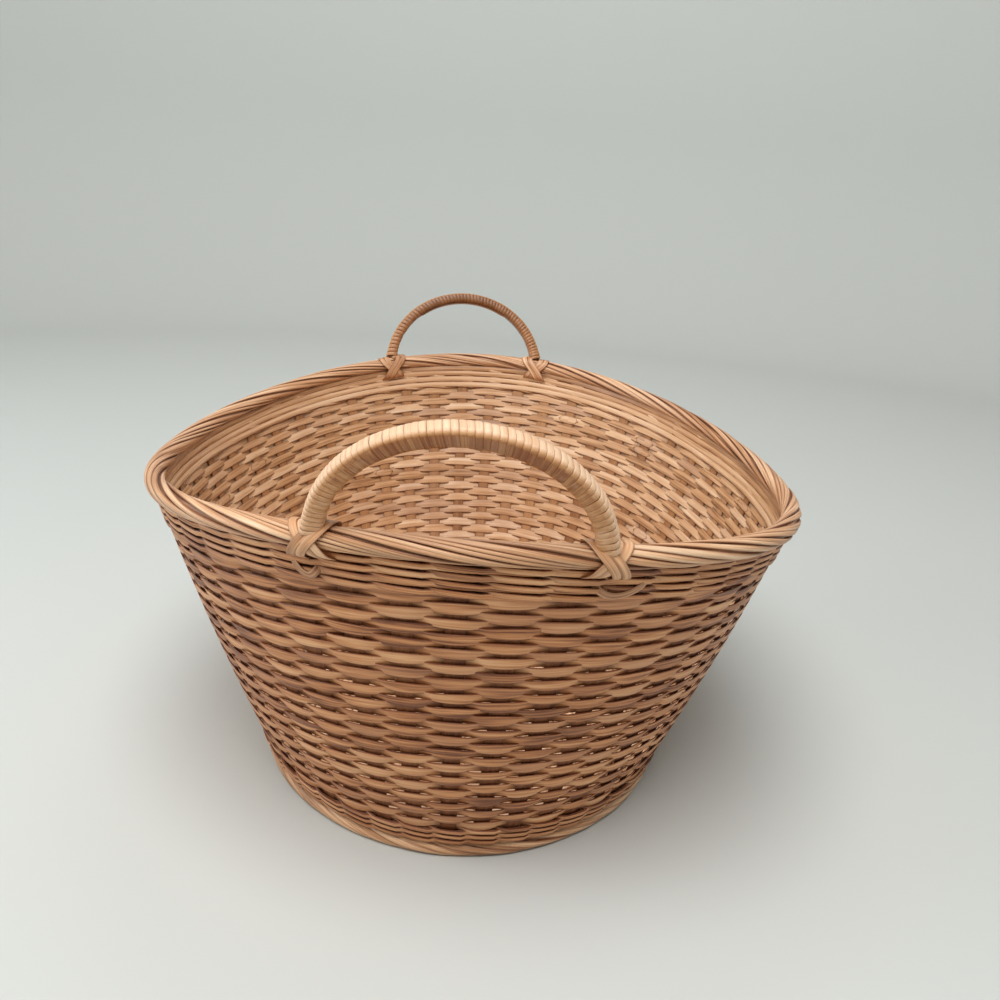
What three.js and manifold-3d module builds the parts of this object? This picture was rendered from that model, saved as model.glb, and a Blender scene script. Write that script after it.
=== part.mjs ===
// Oval wicker gathering basket with flared sides and two cane-bound bow handles.
// Millimetres, +Z up, +Y along the length, origin on the ground in the middle of the foot.
import * as THREE from 'three';
import { mergeVertices } from 'three/addons/utils/BufferGeometryUtils.js';
import Module from 'manifold-3d';

const wasm = await Module();
wasm.setup();

// Overall form, measured on the centrelines of the rim border and the foot border
const rimLength = 512;
const rimWidth = 420;
const footLength = 346;
const footWidth = 280;
const endHeight = 225; // rim height at the handles
const sideHeight = 195; // the rim dips between the handles
const rimDipPower = 1.82;
const wallBow = 0.2; // how far the wall bellies out of a straight flare
const wallSegments = 3; // straight stretches that follow the belly
const clearance = 0.3; // between pieces that touch

// Stakes: split rods, flat and sharp along both edges
const stakeCount = 48;
const stakeFootWidth = 8;
const stakeTopWidth = 11;
const stakeThickness = 2.6;

// Rim border: the stakes' tips rolled into a rope of strands
const borderRadius = 6.5;
const borderStrands = 5;
const strandGroove = 1.1;
const borderTurns = 8;
const borderStations = 80;
const rimLengths = 8; // the border and its stakes are made up in this many lengths

// Foot border: a small roll, flat underneath
const footHeight = 10;
const footRollWidth = 11;
const footFlatWidth = 6;

// Side weave, one solid for each two rows of split rod, with wales at top and bottom
const courseCount = 15;
const courseThickness = 1.8;
const courseGap = 1.2; // light shows between the rows
const topWaleRows = 2;
const bottomWaleRows = 1;
const lashingRoom = 2; // left open under the border for the lashings

// Base: a slath of cross sticks split for the long sticks, with rounds of weave on the fanned ends
const crossStickCount = 7;
const longStickCount = 5;
const crossStickWidth = 5;
const crossStickHeight = 5;
const crossStickPitch = 24;
const longStickWidth = 5;
const longStickHeight = 2.4;
const longStickPitch = 8;
const fanStart = 8; // from the crossing to where the stick ends start to spread
const baseGroundGap = 1; // the base is carried clear of the ground
const baseRoundCount = 5;
const baseRoundThickness = 1.8;
const baseRoundGap = 0.8;
const bindingRoundWidth = 14;

// Handles: a bent rod, a wound cane strip and two lashings each
const handleRise = 64;
const handleLean = THREE.MathUtils.degToRad(22.6);
const handleHalfGaps = 2.5; // stake gaps from the middle of the handle to each leg
const rearHandleShift = -1; // stake gaps that the rear handle stands off centre
const handleCoreDiameter = 9;
const handleSides = 10;
const handleSteps = 22;
const wrapTurns = 22;
const wrapSteps = 10; // around one turn
const wrapWidth = 7;
const wrapThickness = 1.2;
const wrapFootGap = 4; // bare core between the border and the first turn
const lashingWidth = 5;
const lashingThickness = 1.2;
const lashingLegGap = 3.8; // from a strip to the leg on top of the border
const lashingUnderSpread = 4.5; // half the way between the strips under the border
const lashingStations = 12;

const up = new THREE.Vector3(0, 0, 1);
const stakePitch = (2 * Math.PI) / stakeCount;
const frontAngle = -Math.PI / 2;
const rearAngle = Math.PI / 2;

const weaveMaterial = { color: 0xb98a58, roughness: 0.72, metalness: 0 };
const borderMaterial = { color: 0xc99a63, roughness: 0.66, metalness: 0 };
const baseMaterial = { color: 0xa67a4c, roughness: 0.75, metalness: 0 };
const coreMaterial = { color: 0x8f6236, roughness: 0.7, metalness: 0 };
const caneMaterial = { color: 0xe2bd8a, roughness: 0.45, metalness: 0 };

const basket = new THREE.Group();
basket.name = 'gathering_basket';

function addPiece(name, geometry, finish, group = basket) {
  const mesh = new THREE.Mesh(geometry, new THREE.MeshStandardMaterial(finish));
  mesh.name = name;
  group.add(mesh);
}

// A closed surface through sections of equal point counts, as a ring or with flat ends
function loft(sections, closed) {
  const count = sections[0].length;
  const points = sections.flat();
  const triangles = [];
  const spans = closed ? sections.length : sections.length - 1;
  for (let i = 0; i < spans; i++) {
    const next = (i + 1) % sections.length;
    for (let j = 0; j < count; j++) {
      const k = (j + 1) % count;
      const corners = [i * count + j, next * count + j, next * count + k, i * count + k];
      triangles.push([corners[0], corners[1], corners[2]], [corners[0], corners[2], corners[3]]);
    }
  }
  if (!closed) {
    const last = (sections.length - 1) * count;
    for (let j = 1; j < count - 1; j++) {
      triangles.push([0, j, j + 1], [last, last + j + 1, last + j]);
    }
  }
  let volume = 0;
  for (const [a, b, c] of triangles) {
    volume += points[a].dot(new THREE.Vector3().crossVectors(points[b], points[c]));
  }
  const outward = volume > 0 ? triangles : triangles.map(([a, b, c]) => [a, c, b]);
  const geometry = new THREE.BufferGeometry().setFromPoints(points);
  geometry.setIndex(outward.flat());
  return geometry;
}

function toSolid(geometry) {
  const bare = geometry.clone();
  bare.deleteAttribute('normal');
  bare.deleteAttribute('uv');
  const merged = mergeVertices(bare, 1e-4);
  const vertProperties = new Float32Array(merged.attributes.position.array);
  const triVerts = new Uint32Array(merged.index.array);
  return new wasm.Manifold(new wasm.Mesh({ numProp: 3, vertProperties, triVerts }));
}

function toGeometry(solid) {
  const { vertProperties, triVerts } = solid.getMesh();
  const geometry = new THREE.BufferGeometry();
  geometry.setAttribute('position', new THREE.BufferAttribute(vertProperties, 3));
  geometry.setIndex(new THREE.BufferAttribute(triVerts, 1));
  return geometry;
}

// The wall: two ovals joined by a bellied flare, at any angle and height
function ovalPoint(angle, length, width) {
  return new THREE.Vector3((width / 2) * Math.cos(angle), (length / 2) * Math.sin(angle), 0);
}

function rimHeight(angle) {
  return sideHeight + (endHeight - sideHeight) * Math.abs(Math.sin(angle)) ** rimDipPower;
}

function wallReach(share) {
  const bellied = (t) => t + wallBow * t * (1 - t);
  const step = Math.min(Math.max(Math.floor(share * wallSegments), 0), wallSegments - 1);
  const low = bellied(step / wallSegments);
  const high = bellied((step + 1) / wallSegments);
  return low + (high - low) * (share * wallSegments - step);
}

function wallPoint(angle, z) {
  const foot = ovalPoint(angle, footLength, footWidth);
  const rim = ovalPoint(angle, rimLength, rimWidth);
  const share = (z - footHeight / 2) / (rimHeight(angle) - footHeight / 2);
  return foot.lerp(rim, wallReach(share)).setZ(z);
}

// Place, outward direction and direction along the wall, both level
function wallFrame(angle, z) {
  const along = wallPoint(angle + stakePitch, z).sub(wallPoint(angle - stakePitch, z)).setZ(0).normalize();
  const out = new THREE.Vector3().crossVectors(along, up).normalize();
  return { point: wallPoint(angle, z), out, along };
}

function shifted(frame, along, out, rise = 0) {
  const point = frame.point.clone().addScaledVector(frame.along, along);
  return point.addScaledVector(frame.out, out).addScaledVector(up, rise);
}

function stakeAngle(index) {
  return frontAngle + index * stakePitch;
}

function stakeWidth(angle, z) {
  const share = (z - footHeight) / (rimHeight(angle) - footHeight);
  return stakeFootWidth + (stakeTopWidth - stakeFootWidth) * share;
}

// Stakes and rim border
function stakeGeometry(angle) {
  const low = footHeight + clearance;
  const high = rimHeight(angle);
  const sections = [];
  for (let i = 0; i <= wallSegments; i++) {
    const share = Math.max(i / wallSegments, (low - footHeight / 2) / (high - footHeight / 2));
    const z = footHeight / 2 + share * (high - footHeight / 2);
    const frame = wallFrame(angle, z);
    const half = stakeWidth(angle, z) / 2;
    sections.push([
      shifted(frame, -half, 0),
      shifted(frame, 0, -stakeThickness / 2),
      shifted(frame, half, 0),
      shifted(frame, 0, stakeThickness / 2),
    ]);
  }
  return loft(sections, false);
}

function borderGeometry(fromAngle, toAngle) {
  const steps = borderStations / rimLengths;
  const sections = [];
  for (let i = 0; i <= steps; i++) {
    const angle = fromAngle + ((toAngle - fromAngle) * i) / steps;
    const frame = wallFrame(angle, rimHeight(angle));
    const section = [];
    for (let j = 0; j < 2 * borderStrands; j++) {
      const turn = (j / (2 * borderStrands)) * 2 * Math.PI - borderTurns * angle;
      const radius = j % 2 ? borderRadius - strandGroove : borderRadius;
      section.push(shifted(frame, 0, radius * Math.cos(turn), radius * Math.sin(turn)));
    }
    sections.push(section);
  }
  return loft(sections, false);
}

// Woven rings: each passes outside or inside every stake by its pattern
function weaveOffset(lowZ) {
  const atStake = (stakeThickness + courseThickness) / 2 + clearance;
  let offset = atStake;
  for (let i = 0; i < stakeCount / 4 + 1; i++) {
    const angle = stakeAngle(i);
    const chord = wallPoint(angle + stakePitch, lowZ).sub(wallPoint(angle, lowZ)).length();
    const half = stakeWidth(angle, lowZ) / 2;
    const bend = wallPoint(angle + stakePitch, lowZ)
      .add(wallPoint(angle - stakePitch, lowZ))
      .multiplyScalar(-0.5)
      .add(wallPoint(angle, lowZ))
      .length();
    const atEdge = courseThickness / 2 + clearance + (bend * half) / chord;
    offset = Math.max(offset, atEdge / (1 - (2 * half) / chord));
  }
  return offset;
}

const wovenRows = bottomWaleRows + courseCount + topWaleRows;

function courseLevel(angle, row) {
  const low = footHeight + clearance;
  const high = rimHeight(angle) - borderRadius - lashingRoom;
  return low + ((high - low) * row) / wovenRows;
}

function wovenRing(row, passesOutside) {
  const offset = weaveOffset(courseLevel(frontAngle, row) + courseGap);
  const sections = [];
  for (let i = 0; i < stakeCount; i++) {
    const angle = stakeAngle(i);
    const low = wallFrame(angle, courseLevel(angle, row) + courseGap / 2);
    const high = wallFrame(angle, courseLevel(angle, row + 1) - courseGap / 2);
    const out = passesOutside(i) ? offset : -offset;
    sections.push([
      shifted(low, 0, out - courseThickness / 2),
      shifted(low, 0, out + courseThickness / 2),
      shifted(high, 0, out + courseThickness / 2),
      shifted(high, 0, out - courseThickness / 2),
    ]);
  }
  return loft(sections, true);
}

function buildSideWeave() {
  for (let row = 0; row < wovenRows; row++) {
    const course = row - bottomWaleRows;
    if (course >= 0 && course < courseCount) {
      const name = `weave_course_${String(course + 1).padStart(2, '0')}`;
      addPiece(name, wovenRing(row, (stake) => (stake + row) % 2 === 0), weaveMaterial);
    } else {
      const name = course < 0 ? `bottom_wale_${row + 1}` : `top_wale_${course - courseCount + 1}`;
      addPiece(name, wovenRing(row, (stake) => (stake + row) % 3 !== 0), weaveMaterial);
    }
  }
}

// Foot border, a ring with a flat underside
function buildFootBorder() {
  const sections = [];
  for (let i = 0; i < stakeCount; i++) {
    const frame = wallFrame(stakeAngle(i), footHeight / 2);
    const half = footRollWidth / 2;
    const flat = footFlatWidth / 2;
    const low = -footHeight / 2;
    const shoulder = (footHeight * (footRollWidth - footFlatWidth)) / (2 * footRollWidth);
    sections.push([
      shifted(frame, 0, -flat, low),
      shifted(frame, 0, flat, low),
      shifted(frame, 0, half, low + shoulder),
      shifted(frame, 0, half, -low - shoulder),
      shifted(frame, 0, flat, -low),
      shifted(frame, 0, -flat, -low),
      shifted(frame, 0, -half, -low - shoulder),
      shifted(frame, 0, -half, low + shoulder),
    ]);
  }
  addPiece('foot_border', loft(sections, true), borderMaterial);
}

// Base: where each stick end leaves the slath and where it meets the foot border, in plan
const stickEnds = 2 * (crossStickCount + longStickCount);
const halfEnds = stickEnds / 2;
const slathHalfWidth = ((longStickCount - 1) * longStickPitch + longStickWidth) / 2;
const slathHalfLength = ((crossStickCount - 1) * crossStickPitch + crossStickWidth) / 2;

// The inner face of the foot border, on the straight stretch that the angle falls in
function footInside(angle) {
  const place = (angle - frontAngle) / stakePitch;
  const inner = (index) => {
    const { out } = wallFrame(stakeAngle(index), footHeight / 2);
    const foot = ovalPoint(stakeAngle(index), footLength, footWidth);
    return foot.addScaledVector(out, -footRollWidth / 2 - 2 * clearance);
  };
  const from = inner(Math.floor(place));
  const to = inner(Math.floor(place) + 1);
  const along = to.clone().sub(from).normalize();
  return { point: from.lerp(to, place - Math.floor(place)), along };
}

// Stick ends in turn round the base: the cross sticks' right ends, the long sticks' rear ends and so on
function stickEnd(index) {
  const side = index < halfEnds ? 1 : -1;
  const place = index % halfEnds;
  const isCross = place < crossStickCount;
  const middle = isCross ? (crossStickCount - 1) / 2 : crossStickCount + (longStickCount - 1) / 2;
  const spread = side * (place - middle);
  const start = isCross
    ? new THREE.Vector3(side * (slathHalfWidth + fanStart), spread * crossStickPitch, 0)
    : new THREE.Vector3(-spread * longStickPitch, side * (slathHalfLength + fanStart), 0);
  const { point, along } = footInside((index - (crossStickCount - 1) / 2) * ((2 * Math.PI) / stickEnds));
  const width = isCross ? crossStickWidth : longStickWidth;
  const height = isCross ? crossStickHeight : longStickHeight;
  return { start, end: point, footAlong: along, width, height };
}

// A stick from end to end through the slath, cut along the foot border at both ends
function stickGeometry(first, last) {
  const points = [first.end, first.start, last.start, last.end];
  const sections = points.map((point, i) => {
    const before = points[Math.max(i - 1, 0)];
    const after = points[Math.min(i + 1, points.length - 1)];
    const along = after.clone().sub(before).normalize();
    const square = new THREE.Vector3().crossVectors(along, up);
    const side = [first.footAlong.clone(), square.clone(), square.clone(), last.footAlong.clone()][i];
    side.multiplyScalar(first.width / 2 / side.dot(square));
    const rise = up.clone().multiplyScalar(first.height / 2);
    return [
      point.clone().sub(side).sub(rise),
      point.clone().add(side).sub(rise),
      point.clone().add(side).add(rise),
      point.clone().sub(side).add(rise),
    ];
  });
  return loft(sections, false);
}

function buildBaseSticks(base) {
  const slot = new THREE.BoxGeometry(
    2 * (slathHalfWidth + clearance),
    2 * (slathHalfLength + fanStart),
    longStickHeight + 2 * clearance,
  );
  for (let i = 0; i < crossStickCount; i++) {
    const stick = stickGeometry(stickEnd(halfEnds + crossStickCount - 1 - i), stickEnd(i));
    const split = toSolid(stick).subtract(toSolid(slot));
    addPiece(`base_cross_stick_${i + 1}`, toGeometry(split), baseMaterial, base);
  }
  for (let i = 0; i < longStickCount; i++) {
    const stick = stickGeometry(stickEnd(stickEnds - 1 - i), stickEnd(crossStickCount + i));
    addPiece(`base_long_stick_${i + 1}`, stick, baseMaterial, base);
  }
}

function alongStick({ start, end }, share) {
  return start.clone().lerp(end, share);
}

// How far a round stands above or below the sticks, so that it clears the edges of each
function baseRoundOffset(share) {
  let offset = 0;
  for (let i = 0; i < stickEnds; i++) {
    const stick = stickEnd(i);
    const run = stick.end.clone().sub(stick.start).normalize();
    const needed = (stick.height + baseRoundThickness) / 2 + clearance;
    for (const j of [(i + 1) % stickEnds, (i + stickEnds - 1) % stickEnds]) {
      const chord = alongStick(stickEnd(j), share).sub(alongStick(stick, share));
      const squareOn = new THREE.Vector3().crossVectors(run, chord).length();
      offset = Math.max(offset, needed / (1 - stick.width / squareOn));
    }
  }
  return offset;
}

function bandCorners(inner, outer, rise) {
  const half = baseRoundThickness / 2;
  return [
    inner.clone().setZ(rise - half),
    outer.clone().setZ(rise - half),
    outer.clone().setZ(rise + half),
    inner.clone().setZ(rise + half),
  ];
}

// A round of base weave between two shares of the way from the slath to the foot
function baseRound(inner, outer, firstOver, offset) {
  const sections = [];
  for (let i = 0; i < stickEnds; i++) {
    const rise = (i + firstOver) % 2 ? offset : -offset;
    sections.push(bandCorners(alongStick(stickEnd(i), inner), alongStick(stickEnd(i), outer), rise));
  }
  return loft(sections, true);
}

// The first round binds the slath: over the two arms of cross sticks and under the long ones
function bindingRound(outer) {
  const room = 3 * clearance;
  const sections = [];
  for (const half of [0, halfEnds]) {
    const arms = [
      { ends: [half, half + crossStickCount - 1], over: 1 },
      { ends: [half + crossStickCount, half + halfEnds - 1], over: -1 },
    ];
    for (const { ends, over } of arms) {
      const [first, last] = ends.map(stickEnd);
      const across = last.start.clone().sub(first.start).normalize();
      const outward = new THREE.Vector3().crossVectors(across, up).normalize();
      [first, last].forEach((stick, i) => {
        const slant = Math.abs(stick.end.clone().sub(stick.start).normalize().dot(outward));
        const edge = (squareOn) => (i ? 1 : -1) * (stick.width / (2 * squareOn) + room);
        const near = stick.start.clone().addScaledVector(outward, room - fanStart);
        const far = alongStick(stick, outer).addScaledVector(across, edge(slant));
        const rise = over * ((crossStickHeight + baseRoundThickness) / 2 + room);
        sections.push(bandCorners(near.addScaledVector(across, edge(1)), far, rise));
      });
    }
  }
  return loft(sections, true);
}

function buildBase() {
  const reach = footWidth / 2 - slathHalfWidth - fanStart;
  const first = bindingRoundWidth / reach;
  const step = (1 - first) / baseRoundCount;
  const offset = baseRoundOffset(first);
  const base = new THREE.Group();
  base.position.z = baseGroundGap + offset + baseRoundThickness / 2;
  basket.add(base);
  buildBaseSticks(base);
  const cornerRoom = crossStickWidth / reach;
  addPiece('base_binding_round', bindingRound(first - cornerRoom), baseMaterial, base);
  for (let i = 0; i < baseRoundCount; i++) {
    const inner = first + i * step + baseRoundGap / reach;
    const outer = first + (i + 1) * step;
    addPiece(`base_round_${i + 1}`, baseRound(inner, outer, i, offset), baseMaterial, base);
  }
}

// Handles
function legFoot(angle) {
  return wallPoint(angle, rimHeight(angle));
}

// The bow's own frame: from foot to foot, and up and out at the lean
function handleFrame(middleAngle) {
  const left = legFoot(middleAngle - handleHalfGaps * stakePitch);
  const right = legFoot(middleAngle + handleHalfGaps * stakePitch);
  const across = right.clone().sub(left).normalize();
  const out = new THREE.Vector3().crossVectors(across, up).normalize();
  const square = new THREE.Vector3().crossVectors(out, across).normalize();
  const rise = square.multiplyScalar(Math.cos(handleLean)).addScaledVector(out, Math.sin(handleLean));
  const middle = left.clone().add(right).multiplyScalar(0.5);
  return { left, right, middle, across, rise, halfSpan: left.distanceTo(right) / 2 };
}

class BowCurve extends THREE.Curve {
  constructor(frame, legLength) {
    super();
    this.frame = frame;
    this.legLength = legLength;
    this.archLength = (Math.PI * (frame.halfSpan + handleRise)) / 2;
    this.fullLength = this.archLength + 2 * legLength;
  }

  // The point at a distance from the left foot, along straight legs and a half oval
  pointAt(distance) {
    const { left, right, middle, across, rise, halfSpan } = this.frame;
    if (distance < 0) return left.clone().addScaledVector(rise, distance);
    if (distance > this.archLength) {
      return right.clone().addScaledVector(rise, this.archLength - distance);
    }
    const turn = (distance / this.archLength) * Math.PI;
    const point = middle.clone().addScaledVector(across, -halfSpan * Math.cos(turn));
    return point.addScaledVector(rise, handleRise * Math.sin(turn));
  }

  getPoint(share) {
    return this.pointAt(share * this.fullLength - this.legLength);
  }
}

function roundShape(radius, sides) {
  const shape = new THREE.Shape();
  for (let i = 0; i < sides; i++) {
    const turn = (i / sides) * 2 * Math.PI;
    const point = [radius * Math.cos(turn), radius * Math.sin(turn)];
    if (i) shape.lineTo(...point);
    else shape.moveTo(...point);
  }
  shape.closePath();
  return shape;
}

function handleRod(frame, radius, legLength) {
  const options = { steps: handleSteps, bevelEnabled: false, extrudePath: new BowCurve(frame, legLength) };
  return new THREE.ExtrudeGeometry(roundShape(radius, handleSides), options);
}

// The cane strip, wound as one helix on the arch
function wrapSections(frame) {
  const bow = new BowCurve(frame, 0);
  const normal = new THREE.Vector3().crossVectors(frame.across, frame.rise).normalize();
  const first = borderRadius + wrapFootGap + wrapWidth / 2;
  const span = bow.archLength - 2 * first;
  const inner = handleCoreDiameter / 2 + clearance;
  const polygonInner = inner / Math.cos(Math.PI / wrapSteps);
  const sections = [];
  for (let i = 0; i <= wrapTurns * wrapSteps; i++) {
    const middle = first + (span * i) / (wrapTurns * wrapSteps);
    const turn = (i / wrapSteps) * 2 * Math.PI;
    const corner = (shift, radius) => {
      const point = bow.pointAt(middle + shift);
      const ahead = bow.pointAt(middle + shift + 1).sub(bow.pointAt(middle + shift - 1)).normalize();
      const side = new THREE.Vector3().crossVectors(normal, ahead).normalize();
      point.addScaledVector(side, radius * Math.cos(turn));
      return point.addScaledVector(normal, radius * Math.sin(turn));
    };
    sections.push([
      corner(-wrapWidth / 2, polygonInner),
      corner(wrapWidth / 2, polygonInner),
      corner(wrapWidth / 2, polygonInner + wrapThickness),
      corner(-wrapWidth / 2, polygonInner + wrapThickness),
    ]);
  }
  return sections;
}

// Least distance between the facing edges of turns that lie side by side
function leastSelfGap(sections) {
  let least = Infinity;
  for (let i = 0; i + wrapSteps < sections.length; i++) {
    for (let j = i + wrapSteps / 2; j < Math.min(i + 1.5 * wrapSteps, sections.length); j++) {
      for (const point of sections[i]) {
        for (const other of sections[j]) least = Math.min(least, point.distanceTo(other));
      }
    }
  }
  return least;
}

// A cross lashing: two strips round the border that cross outside and inside
function lashingGeometry(angle) {
  const borderFrame = (turn) => wallFrame(angle + turn, rimHeight(angle + turn));
  const arc = borderFrame(stakePitch).point.distanceTo(borderFrame(0).point) / stakePitch;
  const inner = (borderRadius + clearance) / Math.cos(Math.PI / lashingStations);
  const topSpread = (handleCoreDiameter + lashingWidth) / 2 + lashingLegGap;
  const lean = (topSpread + lashingUnderSpread) / 2;
  const middle = (topSpread - lashingUnderSpread) / 2;
  const strips = [-1, 1].map((side) => {
    const sections = [];
    for (let i = 0; i < lashingStations; i++) {
      const turn = (i / lashingStations) * 2 * Math.PI;
      const along = side * (middle + lean * Math.sin(turn));
      const corner = (shift, radius) =>
        shifted(borderFrame((along + shift) / arc), 0, radius * Math.cos(turn), radius * Math.sin(turn));
      sections.push([
        corner(-lashingWidth / 2, inner),
        corner(lashingWidth / 2, inner),
        corner(lashingWidth / 2, inner + lashingThickness),
        corner(-lashingWidth / 2, inner + lashingThickness),
      ]);
    }
    return toSolid(loft(sections, true));
  });
  return toGeometry(strips[0].add(strips[1]));
}

const handles = [
  { name: 'front_handle', middleAngle: frontAngle },
  { name: 'rear_handle', middleAngle: rearAngle - rearHandleShift * stakePitch },
];

function buildHandles() {
  for (const { name, middleAngle } of handles) {
    const frame = handleFrame(middleAngle);
    const halfTurn = handleHalfGaps * stakePitch;
    const radius = handleCoreDiameter / 2;
    const legLength = Math.sqrt(borderRadius ** 2 - radius ** 2) - clearance; // ends inside the roll
    addPiece(`${name}_core`, handleRod(frame, radius, legLength), coreMaterial);
    const sections = wrapSections(frame);
    console.log(`${name} wrap: least gap between turns ${leastSelfGap(sections).toFixed(2)} mm`);
    addPiece(`${name}_wrap`, loft(sections, false), caneMaterial);
    addPiece(`${name}_lashing_left`, lashingGeometry(middleAngle - halfTurn), caneMaterial);
    addPiece(`${name}_lashing_right`, lashingGeometry(middleAngle + halfTurn), caneMaterial);
  }
}

// The stakes run up into the border, and the handle legs pass through it
function buildStakesAndBorder() {
  const stakesEach = stakeCount / rimLengths;
  const endGap = clearance / rimWidth; // an angle, half a clearance wide
  const room = handleCoreDiameter / 2 + clearance;
  const legRooms = handles.map(({ middleAngle }) =>
    toSolid(handleRod(handleFrame(middleAngle), room, 2 * borderRadius)),
  );
  for (let i = 0; i < rimLengths; i++) {
    const fromAngle = stakeAngle(i * stakesEach - 0.5) + endGap;
    const toAngle = stakeAngle((i + 1) * stakesEach - 0.5) - endGap;
    let solid = toSolid(borderGeometry(fromAngle, toAngle));
    for (let j = 0; j < stakesEach; j++) {
      solid = solid.add(toSolid(stakeGeometry(stakeAngle(i * stakesEach + j))));
    }
    for (const legRoom of legRooms) solid = solid.subtract(legRoom);
    addPiece(`stakes_and_border_${i + 1}`, toGeometry(solid), borderMaterial);
  }
}

buildStakesAndBorder();
buildSideWeave();
buildFootBorder();
buildBase();
buildHandles();

export default basket;
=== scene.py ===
import math

import bmesh
import bpy
import numpy as np
from mathutils import Matrix, Vector


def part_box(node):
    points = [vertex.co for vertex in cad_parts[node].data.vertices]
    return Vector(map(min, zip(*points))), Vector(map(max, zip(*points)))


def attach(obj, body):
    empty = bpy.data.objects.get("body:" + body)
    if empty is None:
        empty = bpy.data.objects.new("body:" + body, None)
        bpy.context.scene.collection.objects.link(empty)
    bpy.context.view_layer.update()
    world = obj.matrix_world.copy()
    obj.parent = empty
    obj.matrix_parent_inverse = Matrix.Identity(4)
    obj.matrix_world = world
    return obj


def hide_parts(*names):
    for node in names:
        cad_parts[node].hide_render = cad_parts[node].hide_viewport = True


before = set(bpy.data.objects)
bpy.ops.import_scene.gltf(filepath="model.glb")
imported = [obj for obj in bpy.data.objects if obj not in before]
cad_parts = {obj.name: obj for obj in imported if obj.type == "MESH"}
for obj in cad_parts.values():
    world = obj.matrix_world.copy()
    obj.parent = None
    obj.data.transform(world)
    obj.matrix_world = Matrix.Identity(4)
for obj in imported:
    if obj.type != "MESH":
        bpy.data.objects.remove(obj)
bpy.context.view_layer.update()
scene = bpy.context.scene
print("frame loaded with", len(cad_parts), "nodes")

# Form of the wall, in metres, with its size taken from the frame
basket = {
    "stakeCount": 48,
    "borderRadius": 0.0065,
    "footHalfWidth": 0.0055,
    "sideHeight": 0.195,  # rim height between the handles
    "dipPower": 1.82,
    "bow": 0.2,  # belly of the wall
    "lowShare": 0.026,  # where the weave starts on the wall, 0 at the foot and 1 at the rim
    "highShare": 0.972,
    "ringSteps": 3,  # stations for each stake on a plain ring
}


def nodesWith(words):
    return [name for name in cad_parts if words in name]


borderNodes = nodesWith("stakes_and_border")
rimHigh = np.max([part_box(name)[1] for name in borderNodes], axis=0)
footHigh = np.array(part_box("foot_border")[1])
rimX = rimHigh[0] - basket["borderRadius"]
rimY = rimHigh[1] - basket["borderRadius"]
endHeight = rimHigh[2] - basket["borderRadius"]
footX = footHigh[0] - basket["footHalfWidth"]
footY = footHigh[1] - basket["footHalfWidth"]
footZ = footHigh[2] / 2
stakePitch = 2 * math.pi / basket["stakeCount"]
frontAngle = -math.pi / 2
rearAngle = math.pi / 2
upright = np.array([0.0, 0.0, 1.0])
nudge = 1e-3  # small step to each side, to find a direction


def unit(vectors):
    return vectors / np.linalg.norm(vectors, axis=-1, keepdims=True)


def column(values):
    return np.asarray(values)[..., None]


def between(first, last, share):
    return first + (last - first) * share


def runningSum(steps):
    return np.concatenate([[0], np.cumsum(steps)])


def pathLengths(points):
    return runningSum(np.linalg.norm(np.diff(points, axis=0), axis=1))


def rimHeight(angle):
    dip = np.abs(np.sin(angle)) ** basket["dipPower"]
    return between(basket["sideHeight"], endHeight, dip)


def wallPoint(angle, share):
    reach = share + basket["bow"] * share * (1 - share)
    x = between(footX, rimX, reach) * np.cos(angle)
    y = between(footY, rimY, reach) * np.sin(angle)
    z = between(footZ, rimHeight(angle), share)
    return np.stack(np.broadcast_arrays(x, y, z), axis=-1)


def alongWall(angle, share):
    return unit(wallPoint(angle + nudge, share) - wallPoint(angle - nudge, share))


# Place on the wall, direction along it, out of it and up it
def wallFrame(angle, share):
    along = alongWall(angle, share)
    climb = wallPoint(angle, share + nudge) - wallPoint(angle, share - nudge)
    out = unit(np.cross(along, climb))
    return wallPoint(angle, share), along, out, np.cross(out, along)


# Place on a ring of the wall, such as the rim, with a level direction outwards and one upwards
def ringFrame(angle, share):
    along = alongWall(angle, share)
    out = unit(np.cross(along, upright))
    return wallPoint(angle, share), out, np.cross(out, along)


def stakeAngle(index):
    return frontAngle + index * stakePitch


# Angles once round the basket and a little on
def ringAngles():
    each = basket["ringSteps"]
    return stakeAngle(np.arange(basket["stakeCount"] * each + 2) / each)


# Stake numbers along a rod that goes once round and laps over its own start
def lappedRound(first, each, lap):
    return first - lap + np.arange(basket["stakeCount"] * each + round(2 * lap * each) + 1) / each


# Length of the wall from foot to rim, against its length at the front
def slantScale(angle):
    slant = np.linalg.norm(wallPoint(angle, 1.0) - wallPoint(angle, 0.0), axis=-1)
    front = np.linalg.norm(wallPoint(frontAngle, 1.0) - wallPoint(frontAngle, 0.0))
    return slant / front


# A smooth path through a few points
def smoothPath(points, steps, closed=False):
    points = np.asarray(points, float)
    count = len(points)
    spans = count if closed else count - 1
    place = np.linspace(0, spans, steps + 1)
    index = np.minimum(place.astype(int), spans - 1)
    t = column(place - index)
    if closed:
        a, b, c, d = (points[(index + shift) % count] for shift in (-1, 0, 1, 2))
    else:
        padded = np.vstack([2 * points[0] - points[1], points, 2 * points[-1] - points[-2]])
        a, b, c, d = (padded[index + shift] for shift in range(4))
    bend = (2 * a - 5 * b + 4 * c - d) * t**2 + (3 * b - a - 3 * c + d) * t**3
    return 0.5 * (2 * b + (c - a) * t + bend)


# A slow wander along a strand, made of a few waves
def wander(random, angle, size, waves):
    total = np.zeros_like(angle)
    for wave in waves:
        total += np.sin(wave * angle + random.uniform(0, 2 * math.pi)) / len(waves) ** 0.5
    return size * total


# Evens out a row of values over its neighbours on each side
def soften(values, reach, mode):
    count = 2 * reach + 1
    return np.convolve(np.pad(values, reach, mode=mode), np.full(count, 1 / count), mode="valid")


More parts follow.
